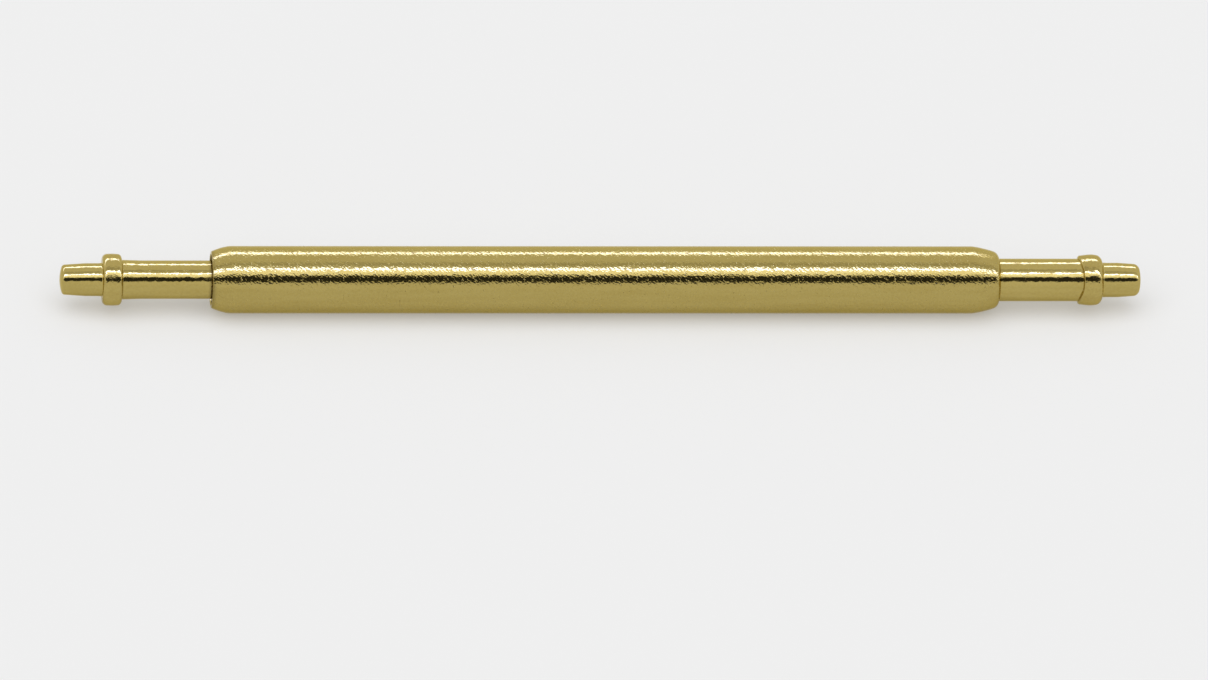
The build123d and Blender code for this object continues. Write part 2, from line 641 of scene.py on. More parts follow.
def rounded_outline(turns: Sequence[Turn], closed: bool = False) -> np.ndarray:
    """Points of an outline with an arc on each corner that has one.

    An arc of radius r on a corner that turns by the angle a touches both sides, r times
    the tangent of a / 2 from the corner. Its points are its centre less the first side's
    left normal, turned by equal steps up to a and times r. A point on each side, just
    past the arc, keeps the smooth shading of the plain stretch straight. The edge
    swells and fades along the arc as the square root of half a sine wave.

    Args:
        turns: The corners in order.
        closed: Whether the last corner joins the first.

    Returns:
        Rows of place along, radius, and edge, for an outline whose solid is on its
        right: up to 1 on a sharp outer edge, and below 0 where shade is painted, in inner corners and at
            corners that carry painted shade.
    """
    corners = np.array([(t.along, t.radius) for t in turns])
    rows: list[np.ndarray] = []
    for index, turn in enumerate(turns):
        here = corners[index]
        if turn.rounding == 0 or (not closed and index in (0, len(turns) - 1)):
            rows.append(np.array([[here[0], here[1], -turn.painted_shade]]))
            continue
        before = here - corners[index - 1]
        after = corners[(index + 1) % len(turns)] - here
        before /= np.linalg.norm(before)
        after /= np.linalg.norm(after)
        angle = math.atan2(before[0] * after[1] - before[1] * after[0], before @ after)
        reach = turn.rounding * math.tan(abs(angle) / 2)
        left = np.array([-before[1], before[0]]) * np.sign(angle)
        centre = here - before * reach + left * turn.rounding
        steps = max(FEWEST_STEPS, math.ceil(abs(angle) / ARC_STEP))
        swing = np.linspace(0, angle, steps + 1)[:, None]
        spoke = -left * turn.rounding
        across = np.array([-spoke[1], spoke[0]])
        arc = centre + spoke * np.cos(swing) + across * np.sin(swing)
        # A corner with painted shade isn't rubbed, and the arc of an inner corner takes painted shade
        sharp = min(1.0, RUBBED_ROUNDING / turn.rounding) * max(0.0, 1 - turn.painted_shade)
        sharp *= 1.0 if angle < 0 else -INNER_SHADE
        fade = np.sin(np.linspace(0, math.pi, steps + 1)) ** 0.5 * sharp - turn.painted_shade
        first = np.array([[*(arc[0] - before * PAST_ARC), -turn.painted_shade]])
        last = np.array([[*(arc[-1] + after * PAST_ARC), -turn.painted_shade]])
        rows.append(np.vstack((first, np.column_stack((arc, fade)), last)))
    return np.vstack(rows)


def divided(
    outline: np.ndarray,
    step: float,
    fine: float | None = None,
    around: Sequence[tuple[float, float]] = (),
) -> np.ndarray:
    """Adds points to an outline, so that no stretch of it is longer than the step.

    A stretch is cut into equal parts, as few as that takes.

    Args:
        outline: Rows of place along, radius and edge.
        step: Longest stretch.
        fine: Longest stretch where the outline carries a crease.
        around: First and last place of each part that needs the fine step.

    Returns:
        The outline with the added points.
    """
    gaps = np.hypot(*np.diff(outline[:, :2], axis=0).T)
    steps = np.full(len(gaps), step)
    for first, last in around:
        middle = (outline[1:, 0] + outline[:-1, 0]) / 2
        steps[(middle > first) & (middle < last)] = fine
    counts = np.maximum(1, np.ceil(gaps / steps).astype(int))
    stations = np.arange(len(outline))
    wanted = np.concatenate(([0.0], np.cumsum(np.repeat(1 / counts, counts))))
    return np.column_stack([np.interp(wanted, stations, outline[:, k]) for k in range(3)])


def wander(angle: np.ndarray, seed: int, slowest: int, fastest: int) -> np.ndarray:
    """Uneven wave round the axis, mostly between -1 and 1.

    It is the sum of the sines of every whole number of waves from slowest to fastest,
    each with a phase of its own, so that it closes on itself after a full turn. The
    sum is divided by the square root of how many sines there are.

    Args:
        angle: Angles round the axis, in radians.
        seed: Number that the phases are drawn from.
        slowest: Fewest waves round.
        fastest: Most waves round.

    Returns:
        The wave at each angle.
    """
    waves = np.arange(slowest, fastest + 1)
    phases = np.random.default_rng(seed).uniform(0, 2 * math.pi, len(waves))
    heights = np.sin(angle[..., None] * waves + phases)
    return heights.sum(axis=-1) / math.sqrt(len(waves))


def mesh_object(
    name: str,
    points: np.ndarray,
    quads: np.ndarray,
    triangles: np.ndarray,
) -> bpy.types.Object:
    """Makes a smooth mesh object at the origin.

    Args:
        name: The piece's name.
        points: Rows of x, y and z, in millimetres.
        quads: Rows of four point numbers.
        triangles: Rows of three point numbers.

    Returns:
        The new object, linked to the scene.
    """
    mesh = bpy.data.meshes.new(name)
    corners = np.concatenate((quads.ravel(), triangles.ravel())).astype(np.int32)
    counts = np.concatenate((np.full(len(quads), 4), np.full(len(triangles), 3)))
    starts = np.concatenate(([0], np.cumsum(counts)[:-1])).astype(np.int32)
    mesh.vertices.add(len(points))
    mesh.vertices.foreach_set("co", (points * MM).astype(np.float32).ravel())
    mesh.loops.add(len(corners))
    mesh.loops.foreach_set("vertex_index", corners)
    mesh.polygons.add(len(counts))
    mesh.polygons.foreach_set("loop_start", starts)
    mesh.update(calc_edges=True)
    mesh.validate()
    mesh.shade_smooth()
    piece = bpy.data.objects.new(name, mesh)
    bpy.context.scene.collection.objects.link(piece)
    return piece


def grid_quads(rows: int, columns: int, closed_rows: bool) -> np.ndarray:
    """Faces of a grid of points that closes on itself round each row.

    Args:
        rows: Number of rows.
        columns: Number of points in a row.
        closed_rows: Whether the last row joins the first.

    Returns:
        Rows of four point numbers.
    """
    row = np.arange(rows if closed_rows else rows - 1)[:, None]
    column = np.arange(columns)[None, :]
    here = row * columns
    above = (row + 1) % rows * columns
    ahead = (column + 1) % columns
    faces = np.stack((here + column, above + column, above + ahead, here + ahead), axis=-1)
    return faces.reshape(-1, 4)


def end_fans(count: int, columns: int) -> np.ndarray:
    """Faces that close the first and the last row of a grid round one point each.

    Args:
        count: Number of points in the grid. The two middle points come next.
        columns: Number of points in a row.

    Returns:
        Rows of three point numbers.
    """
    column = np.arange(columns)
    ahead = (column + 1) % columns
    top = count - columns
    near = np.column_stack((np.full(columns, count), column, ahead))
    far = np.column_stack((np.full(columns, count + 1), top + ahead, top + column))
    return np.vstack((near, far))


def turned(
    name: str,
    outline: np.ndarray,
    closed: bool,
    shape: Callable[[np.ndarray, np.ndarray, np.ndarray], tuple[np.ndarray, np.ndarray]] | None = None,
    sides: int = 160,
) -> bpy.types.Object:
    """Turns an outline about the X axis into a closed solid.

    The point at place a, radius r and angle t is (a, -r cos t, r sin t). An outline that
    isn't closed starts and ends on the axis, and each end is a fan round one point.

    Args:
        name: The piece's name.
        outline: Rows of place along, radius and edge, towards +X on the outside.
        closed: Whether the outline is a ring, as for a tube.
        shape: Gives place and radius from grids of place, radius and angle, to make it uneven.
        sides: Steps round the axis.

    Returns:
        The new object, with the edge of each point in its attribute "edge".
    """
    ring = outline if closed else outline[1:-1]
    angle = np.linspace(0, 2 * math.pi, sides, endpoint=False)[None, :]
    along = np.repeat(ring[:, :1], sides, axis=1)
    radius = np.repeat(ring[:, 1:2], sides, axis=1)
    if shape is not None:
        along, radius = shape(along, radius, np.repeat(angle, len(ring), axis=0))
    points = np.stack((along, -radius * np.cos(angle), radius * np.sin(angle)), axis=-1)
    points = points.reshape(-1, 3)
    edge = np.repeat(ring[:, 2], sides)
    quads = grid_quads(len(ring), sides, closed)
    triangles = np.empty((0, 3), int)
    if not closed:
        poles = np.array([[outline[0, 0], 0.0, 0.0], [outline[-1, 0], 0.0, 0.0]])
        triangles = end_fans(len(points), sides)
        points = np.vstack((points, poles))
        edge = np.concatenate((edge, [0.0, 0.0]))
    piece = mesh_object(name, points, quads, triangles)
    marks = piece.data.attributes.new("edge", "FLOAT", "POINT")
    marks.data.foreach_set("value", edge.astype(np.float32))
    return piece


# Sub-assemblies


@dataclass
class Tube:
    """The drawn tube, rolled in at its left end and coned in at its right end.

    Args:
        length: From end to end.
        radius: Of its outside.
        bore: Radius of its inside.
        lip_land: Length of the straight lip round each neck.
        roll_length: Length that the left end is rolled over.
        roll_drop: How far its outside drops over that length.
        roll_power: How late in the roll it drops, as a power of the share of its length.
        roll_points: Number of corners along the roll.
        roll_face: How far the roll's rim stands back from the tube's nominal end.
        left_lip: Radius of the hole in the left end.
        rim_rounding: Rounding of that rim.
        rim_shade: How much shade is painted on the rim, from 0 to 1.
        rim_shade_reach: How far in from the rim the last of it lies.
        rim_shade_power: How fast it thins out, as a power of the share of that reach.
        recess_radius: Radius of the shallow recess in the left end, inside the rim.
        recess_depth: Its depth from the rim.
        recess_bevel: Width of the bevel at its mouth.
        recess_shade: How much shade is painted on its wall, at the floor and at the mouth.
        lip_edge: Rounding of the hole's edge in its floor.
        cone_length: Length over which the right end narrows.
        cone_back: How far the right end's rim stands back from the tube's nominal end.
        cone_drop: Drop of the outside by the cone.
        cone_power: How late in the cone it drops, as a power of the share of its length.
        nose_drop: Drop by the round nose, on top of that.
        nose_power: How close to the rim the nose drops, as a power of the same share.
        cone_points: Number of corners along the cone and nose.
        right_lip: Radius of the hole in the right end.
        lip_taper: How much that hole narrows towards the rim.
        corner_rounding: Rounding of the recess's floor and of both lips' inner edges.
        bore_rounding: Rounding where the bore starts to narrow.
        step: Longest stretch of the outline without a point.
        finish: Finish of its surface.
    """

    length: float = 17.7
    radius: float = 0.75
    bore: float = 0.60
    lip_land: float = 0.15
    roll_length: float = 0.5
    roll_drop: float = 0.148
    roll_power: float = 1.65
    roll_points: int = 17
    roll_face: float = 0.06
    left_lip: float = 0.457
    rim_rounding: float = 0.035
    rim_shade: float = 0.6
    rim_shade_reach: float = 0.11
    rim_shade_power: float = 1.5
    recess_radius: float = 0.575
    recess_depth: float = 0.06
    recess_bevel: float = 0.006
    recess_shade: tuple[float, float] = (0.6, 0.4)
    lip_edge: float = 0.01
    cone_length: float = 0.60
    cone_back: float = 0.035
    cone_drop: float = 0.143
    cone_power: float = 1.3
    nose_drop: float = 0.101
    nose_power: int = 16
    cone_points: int = 40
    right_lip: float = 0.506
    lip_taper: float = 0.002
    corner_rounding: float = 0.02
    bore_rounding: float = 0.1
    step: float = 0.25
    finish: GoldPlate = DRAWN_GOLD

    def rolled_end(self) -> list[Turn]:
        """Corners along the left roll, from its rim to the plain tube.

        At a share s of the roll's length from where it starts, the radius is the tube's
        less the roll's drop times s to the roll's power. The painted shade thins out from the rim.

        Returns:
            The corners, in order.
        """
        start = -self.length / 2 + self.roll_length
        share = np.linspace(1 - self.roll_face / self.roll_length, 0, self.roll_points)
        radii = self.radius - self.roll_drop * share**self.roll_power
        places = start - share * self.roll_length
        # Shade painted on the rolled rim, thinning out over its reach
        clean = np.clip((places - places[0]) / self.rim_shade_reach, 0, 1)
        painted_shade = self.rim_shade * (1 - clean) ** self.rim_shade_power
        roundings = [self.rim_rounding] + [0.0] * (len(places) - 1)
        rows = zip(places, radii, roundings, painted_shade)
        return [Turn(*(float(number) for number in row)) for row in rows]

    def coned_end(self) -> list[Turn]:
        """Corners along the right end, from the plain tube to its rim.

        At a share s of the way to the rim, the radius is the tube's less the cone's drop
        times s to the cone's power, less the nose's drop times s to the nose's power. The
        shares are sines of equal steps, so that the points crowd round the nose.

        Returns:
            The corners, in order.
        """
        rim = self.length / 2 - self.cone_back
        share = np.sin(np.linspace(0, math.pi / 2, self.cone_points))
        cone = self.cone_drop * share**self.cone_power
        radii = self.radius - cone - self.nose_drop * share**self.nose_power
        places = rim - (1 - share) * self.cone_length
        return [Turn(float(a), float(r)) for a, r in zip(places, radii)]

    def outline(self) -> np.ndarray:
        """The closed outline of the tube's wall: left recess, outside, right end and bore.

        Returns:
            Rows of place along, radius and edge.
        """
        left, right = -self.length / 2, self.length / 2
        rim = left + self.roll_face
        floor = rim + self.recess_depth
        mouth = self.recess_radius + self.recess_bevel
        floor_shade, mouth_shade = self.recess_shade
        # Painted shade: darkest by the hole in the recess's floor, less on its wall, mouth and rim
        turns = [
            Turn(floor, self.left_lip, self.lip_edge, painted_shade=1.0),
            Turn(floor, self.recess_radius, self.corner_rounding, floor_shade),
            Turn(rim + self.recess_bevel, self.recess_radius, painted_shade=mouth_shade),
            Turn(rim, mouth, painted_shade=self.rim_shade),
            *self.rolled_end(),
            *self.coned_end(),
            Turn(right - self.cone_back, self.right_lip - self.lip_taper),
            Turn(right - self.lip_land, self.right_lip, self.corner_rounding),
            Turn(right - self.cone_length, self.bore, self.bore_rounding),
            Turn(left + self.roll_length, self.bore, self.bore_rounding),
            Turn(left + self.lip_land, self.left_lip, self.corner_rounding),
        ]
        return divided(rounded_outline(turns, closed=True), self.step)

    def build(self) -> bpy.types.Object:
        """Makes the tube, dresses it and puts it in place of its solid.

        Returns:
            The tube's object.
        """
        piece = turned("gold_tube", self.outline(), closed=True)
        piece.data.materials.append(self.finish.material())
        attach(piece, "barrel")
        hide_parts("barrel")
        return piece


@dataclass(frozen=True)
class Crease:
    """A ragged line that a worn tool leaves round a turned piece.

    Args:
        place: Its distance out from the tube's end.
        width: Half of its width.
        depth: Its depth, or less than 0 for a raised burr.
        stray: How far it strays along the bar.
        seed: Number that its unevenness is drawn from.
        line_waves: Fewest and most waves round in the way it strays.
        depth_waves: Fewest and most waves round in its depth.
        depth_level: Share of the depth that it has on the whole.
        depth_swing: Share by which the depth changes round the piece.
    """

    place: float
    width: float
    depth: float
    stray: float
    seed: int
    line_waves: tuple[int, int] = (1, 9)
    depth_waves: tuple[int, int] = (2, 17)
    depth_level: float = 0.75
    depth_swing: float = 0.35

    def drop(self, out: np.ndarray, angle: np.ndarray) -> np.ndarray:
        """How much the surface sinks: a bell curve about a line that wanders along the bar.

        Args:
            out: Distances out from the tube's end.
            angle: Angles round the axis, in radians.

        Returns:
            The drop at each place.
        """
        line = self.place + self.stray * wander(angle, self.seed, *self.line_waves)
        swing = self.depth_swing * wander(angle, self.seed + 1, *self.depth_waves)
        strength = self.depth_level + swing
        return self.depth * strength * np.exp(-(((out - line) / self.width) ** 2))


@dataclass
class Plunger:
    """One turned plunger: tip, shoulder, neck, head and tail.

    Args:
        side: The end of the tube that it comes out of.
        neck_radius: Of the neck.
        neck_reach: Bare neck, from the tube to the shoulder.
        neck_root: Rounding where the neck meets the shoulder.
        shoulder_radius: Of the shoulder.
        shoulder_length: Of the shoulder.
        inner_rounding: Rounding of the shoulder's edge by the neck.
        outer_rounding: Rounding of its edge by the tip.
        tip_radius: Of the tip's straight land.
        tip_length: From the shoulder to the very end.
        tip_taper: How much the tip's radius shrinks.
        head_front: Distance of the head's front in from the tube's end.
        creases: Ragged lines round the piece.
        crease_reach: How far on each side of a crease the outline is fine.
        neck_flare: How much the neck's radius grows towards the shoulder.
        flare_length: Length over which it grows.
        flare_rounding: Rounding where it starts to.
        crown: How much the shoulder's radius grows towards its middle.
        crown_rounding: Rounding of the shoulder's middle.
        pinch: How far the shoulder's inner edge stands out on two sides, and in between them.
        pinch_angle: Where it stands out, in degrees from the front over the top.
        pinch_reach: How far along the bar the pinch is felt.
        mouth_shade: How much shade is painted on the neck where it leaves the tube, from 0 to 1.
        mouth_bands: Distances out from the tube's end, each with the share of that painted shade there.
        tube_half: Half of the tube's length.
        tip_root: Length of the tip's flared root.
        root_flare: How much wider the tip is at its root.
        tip_land: Length of the tip's straight land.
        land_rounding: Rounding where the land goes over into the taper.
        dome_height: Height of the dome on the tip's end.
        dome_shares: Shares of the dome's radius at which it has corners.
        tip_corner: Rounding of the tip's end.
        head_radius: Of the head, inside the tube.
        head_length: Of the head.
        head_edge: Rounding of the head's front edge.
        head_root: Rounding where the neck meets the head.
        tail_radius: Of the tail, which the coil slips over.
        tail_length: Of the tail.
        tail_edge: Rounding of the tail's end and of the head's back edge.
        tail_root: Rounding where the tail meets the head.
        step: Longest stretch of the outline without a point.
        fine_step: Longest one about a crease.
        sides: Steps round the axis.
        neck_finish: Finish of all but the shoulder.
        shoulder_finish: Finish of the shoulder.
        finish_margin: How far past the shoulder its finish reaches.
    """

    side: Side
    neck_radius: float
    neck_reach: float
    neck_root: float
    shoulder_radius: float
    shoulder_length: float
    inner_rounding: float
    outer_rounding: float
    tip_radius: float
    tip_length: float
    tip_taper: float
    head_front: float
    creases: tuple[Crease, ...] = ()
    crease_reach: float = 0.05
    neck_flare: float = 0.0
    flare_length: float = 0.45
    flare_rounding: float = 4.0
    crown: float = 0.014
    crown_rounding: float = 0.6
    pinch: float = 0.0
    pinch_angle: float = 34.0
    pinch_reach: float = 0.16
    mouth_shade: float = 0.1
    mouth_bands: tuple[tuple[float, float], ...] = ((-0.08, 1.0), (-0.05, 1.0), (-0.02, 0.45), (0.02, 0.0))
    tube_half: float = 8.85
    tip_root: float = 0.1
    root_flare: float = 0.006
    tip_land: float = 0.26
    land_rounding: float = 0.3
    dome_height: float = 0.06
    dome_shares: tuple[float, ...] = (0.7, 0.5, 0.3, 0.1)
    tip_corner: float = 0.08
    head_radius: float = 0.57
    head_length: float = 0.6
    head_edge: float = 0.01
    head_root: float = 0.02
    tail_radius: float = 0.33
    tail_length: float = 1.0
    tail_edge: float = 0.05
    tail_root: float = 0.03
    step: float = 0.04
    fine_step: float = 0.005
    sides: int = 128
    neck_finish: GoldPlate = TURNED_GOLD
    shoulder_finish: GoldPlate = PRESSED_GOLD
    finish_margin: float = 0.01

    def inside(self) -> list[Turn]:
        """Corners from the tail's end to the neck's mouth, as distances out from the tube's end.

        Returns:
            The corners, in order.
        """
        front = -self.head_front
        back = front - self.head_length
        tail = back - self.tail_length
        # Shade painted on the neck where it leaves the tube
        mouth = [
            Turn(place, self.neck_radius, painted_shade=self.mouth_shade * share)
            for place, share in self.mouth_bands
        ]
        return [
            Turn(tail, 0.0),
            Turn(tail, self.tail_radius, self.tail_edge),
            Turn(back, self.tail_radius, self.tail_root),
            Turn(back, self.head_radius, self.tail_edge),
            Turn(front, self.head_radius, self.head_edge),
            Turn(front, self.neck_radius, self.head_root),
            *mouth,
        ]

    def outside(self) -> list[Turn]:
        """Corners from the neck to the tip's end, as distances out from the tube's end.

        At a share s of the dome's radius, the dome stands back from the very end by its
        height times the square of s.

        Returns:
            The corners, in order.
        """
        flare = Turn(self.neck_reach - self.flare_length, self.neck_radius, self.flare_rounding)
        shoulder_end = self.neck_reach + self.shoulder_length
        rim_radius = self.shoulder_radius - self.crown
        root_end = shoulder_end + self.tip_root
        tip_end = shoulder_end + self.tip_length
        dome_radius = self.tip_radius - self.tip_taper
        dome = [
            Turn(tip_end - self.dome_height * share**2, dome_radius * share)
            for share in self.dome_shares
        ]
        return [
            *([flare] if self.neck_flare else []),
            Turn(self.neck_reach, self.neck_radius + self.neck_flare, self.neck_root),
            Turn(self.neck_reach, rim_radius, self.inner_rounding),
            Turn((self.neck_reach + shoulder_end) / 2, self.shoulder_radius, self.crown_rounding),
            Turn(shoulder_end, rim_radius, self.outer_rounding),
            Turn(shoulder_end, self.tip_radius + self.root_flare),
            Turn(root_end, self.tip_radius),
            Turn(root_end + self.tip_land, self.tip_radius, self.land_rounding),
            Turn(tip_end - self.dome_height, dome_radius, self.tip_corner),
            *dome,
            Turn(tip_end, 0.0),
        ]

    def outline(self) -> np.ndarray:
        """The outline along X, towards +X whichever end the plunger is at.

        Returns:
            Rows of place along, radius and edge.
        """
        reach = self.crease_reach
        creased = [(crease.place - reach, crease.place + reach) for crease in self.creases]
        corners = rounded_outline([*self.inside(), *self.outside()])
        outline = divided(corners, self.step, fine=self.fine_step, around=creased)
        outline[:, 0] = self.side.value * (self.tube_half + outline[:, 0])
        return outline if self.side is Side.RIGHT else outline[::-1]

    def uneven(
        self, along: np.ndarray, radius: np.ndarray, angle: np.ndarray
    ) -> tuple[np.ndarray, np.ndarray]:
        """Sinks the creases into the surface and pinches the shoulder's inner edge.

        The edge moves out by the pinch times the cosine of twice the angle from where it
        stands out, and the surface about it follows, by a bell curve of its distance.

        Args:
            along: Place along the bar.
            radius: Distance from the axis.
            angle: Angle round the axis, from the front over the top.

        Returns:
            The new place and radius.
        """
        out = self.side.value * along - self.tube_half
        sunk = radius - sum(crease.drop(out, angle) for crease in self.creases)
        near = np.exp(-(((out - self.neck_reach) / self.pinch_reach) ** 2))
        shift = self.pinch * np.cos(2 * (angle - math.radians(self.pinch_angle))) * near
        return along + self.side.value * shift, sunk

    def build(self) -> bpy.types.Object:
        """Makes the plunger, dresses it and puts it in place of its solid.

        Returns:
            The plunger's object.
        """
        side = self.side.name.lower()
        name = f"gold_plunger_{side}"
        shape = self.uneven if self.creases else None
        piece = turned(name, self.outline(), closed=False, shape=shape, sides=self.sides)
        self.dress(piece)
        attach(piece, f"{side}_plunger")
        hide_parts(f"{side}_plunger")
        return piece

    def dress(self, piece: bpy.types.Object) -> None:
        """Gives the shoulder its own finish, and the rest of the plunger the neck's.

        Args:
            piece: The plunger's object.
        """
        mesh = piece.data
        mesh.materials.append(self.neck_finish.material())
        mesh.materials.append(self.shoulder_finish.material())
        middles = np.empty(len(mesh.polygons) * 3, np.float32)
        mesh.polygons.foreach_get("center", middles)
        out = self.side.value * middles[::3] / MM - self.tube_half
        first = self.neck_reach - self.finish_margin
        last = self.neck_reach + self.shoulder_length + self.finish_margin
        choice = ((out > first) & (out < last)).astype(np.int32)
        mesh.polygons.foreach_set("material_index", choice)


@dataclass
class CoilSpring:
    """The coil that presses the plungers apart. It is made in two halves, one for each plunger.

    Args:
        start: Place of its wire's first end along the bar.
        end: Place of its wire's last end.
        coil_radius: Of the wire's centre line about the axis.
        wire_radius: Of the wire.
        turns: All turns.
        closed_turns: Nearly closed turns at each end.
        closed_pitch: Climb of a closed turn.
        ease: Number of turns over which the pitch changes.
        samples: Points at which the pitch is summed up.
        steps: Points along each turn.
        sides: Points round the wire.
        finish: Finish of the wire.
    """

    start: float = -7.699
    end: float = 7.597
    coil_radius: float = 0.495
    wire_radius: float = 0.075
    turns: int = 18
    closed_turns: float = 1.5
    closed_pitch: float = 0.19
    ease: float = 0.5
    samples: int = 4001
    steps: int = 36
    sides: int = 14
    finish: DrawnWire = DrawnWire()

    def climb(self, turn: np.ndarray) -> np.ndarray:
        """Place along the bar of the wire at each turn.

        It is the running sum of the pitch, which goes smoothly from the closed pitch to
        the open one over the ease, with the open one set so that the ends are right. At a
        share s of the ease, the pitch is 3 s squared less 2 s cubed of the way to the
        open one.

        Args:
            turn: How many turns from the first end.

        Returns:
            The place of the wire's centre line.
        """
        fine = np.linspace(0, self.turns, self.samples)
        inside = np.minimum(fine, self.turns - fine)
        share = np.clip((inside - self.closed_turns + self.ease / 2) / self.ease, 0, 1)
        share = share * share * (3 - 2 * share)
        step = fine[1] - fine[0]
        spare = self.end - self.start - self.closed_pitch * self.turns
        extra = spare / (np.sum((share[1:] + share[:-1]) / 2) * step)
        pitch = self.closed_pitch + extra * share
        places = self.start + np.concatenate(([0.0], np.cumsum((pitch[1:] + pitch[:-1]) / 2) * step))
        return np.interp(turn, fine, places)

    def half(self, name: str, first: float, last: float) -> bpy.types.Object:
        """Makes the wire between two turns.

        The centre line at turn n is (climb, R cos 2 pi n, R sin 2 pi n). Round it, the
        point at angle s is the centre plus r times (radial cos s + binormal sin s).

        Args:
            name: The piece's name.
            first: Turn that it starts at.
            last: Turn that it ends at.

        Returns:
            The new object, with its length and girth in the UV map "wire".
        """
        turn = np.linspace(first, last, round((last - first) * self.steps) + 1)
        angle = 2 * math.pi * turn
        radial = np.column_stack((np.zeros_like(angle), np.cos(angle), np.sin(angle)))
        centre = radial * self.coil_radius
        centre[:, 0] = self.climb(turn)
        heading = np.gradient(centre, axis=0)
        heading /= np.linalg.norm(heading, axis=1)[:, None]
        binormal = np.cross(heading, radial)
        swing = -np.linspace(0, 2 * math.pi, self.sides, endpoint=False)
        spokes = (
            radial[:, None, :] * np.cos(swing)[None, :, None]
            + binormal[:, None, :] * np.sin(swing)[None, :, None]
        )
        points = (centre[:, None, :] + self.wire_radius * spokes).reshape(-1, 3)
        quads = grid_quads(len(turn), self.sides, closed_rows=False)
        triangles = end_fans(len(points), self.sides)
        points = np.vstack((points, centre[0], centre[-1]))
        piece = mesh_object(name, points, quads, triangles)
        self.wrap(piece, len(turn))
        return piece

    def wrap(self, piece: bpy.types.Object, rings: int) -> None:
        """Lays the UV map: length along the wire, and girth folded in the middle to hide its seam.

        Args:
            piece: One half of the coil.
            rings: How many rings of points it has.
        """
        mesh = piece.data
        corners = np.empty(len(mesh.loops), np.int32)
        mesh.loops.foreach_get("vertex_index", corners)
        ring, column = np.divmod(corners, self.sides)
        ring = np.minimum(ring, rings - 1)
        along = ring * 2 * math.pi * self.coil_radius / self.steps
        fold = np.minimum(column, self.sides - column)
        around = fold * 2 * math.pi * self.wire_radius / self.sides
        layer = mesh.uv_layers.new(name="wire")
        layer.data.foreach_set("uv", np.column_stack((along, around)).astype(np.float32).ravel())

    def build(self) -> list[bpy.types.Object]:
        """Makes both halves, which meet at the coil's middle.

        Returns:
            The left and the right half.
        """
        middle = self.turns / 2
        left = self.half("spring_left_half", 0.0, middle)
        right = self.half("spring_right_half", middle, float(self.turns))
        finish = self.finish.material()
        for piece in (left, right):
            piece.data.materials.append(finish)
            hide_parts("spring")
        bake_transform(left)
        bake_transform(right)
        return [left, right]


# Studio


@dataclass(frozen=True)
class Panel:
    """A long panel over the bar, a softbox or a black flag, as polished metal sees it.

    Args:
        lowest: Angle of its lower edge, in degrees from the front horizon over the top.
        highest: Angle of its upper edge.
        soft: Half of the width over which its edges fade, in degrees.
        strength: Its brightness, where the backdrop's is about 0.9.
        left: Sine of the angle that it reaches to the left.
        right: Sine of the angle that it reaches to the right.
        side_soft: Half of the width over which its ends fade, as a sine.
    """

    lowest: float
    highest: float
    soft: float
    strength: float
    left: float = 0.9
    right: float = 0.97
    side_soft: float = 0.1

    def over(self, light: Signal, angle: Signal, sideways: Signal) -> Signal:
        """Lays the panel over the light of what is behind it.

        Args:
            light: The brightness behind the panel.
            angle: Angle over the bar, in degrees.
            sideways: Sine of the angle to the side.

        Returns:
            The brightness with the panel in it.
        """
        window = angle.rise(self.lowest - self.soft, self.lowest + self.soft)
        window = window * (1 - angle.rise(self.highest - self.soft, self.highest + self.soft))
        for aside, reach in ((sideways, self.right), (-sideways, self.left)):
            window = window * (1 - aside.rise(reach - self.side_soft, reach + self.side_soft))
        return light + (self.strength - light) * window


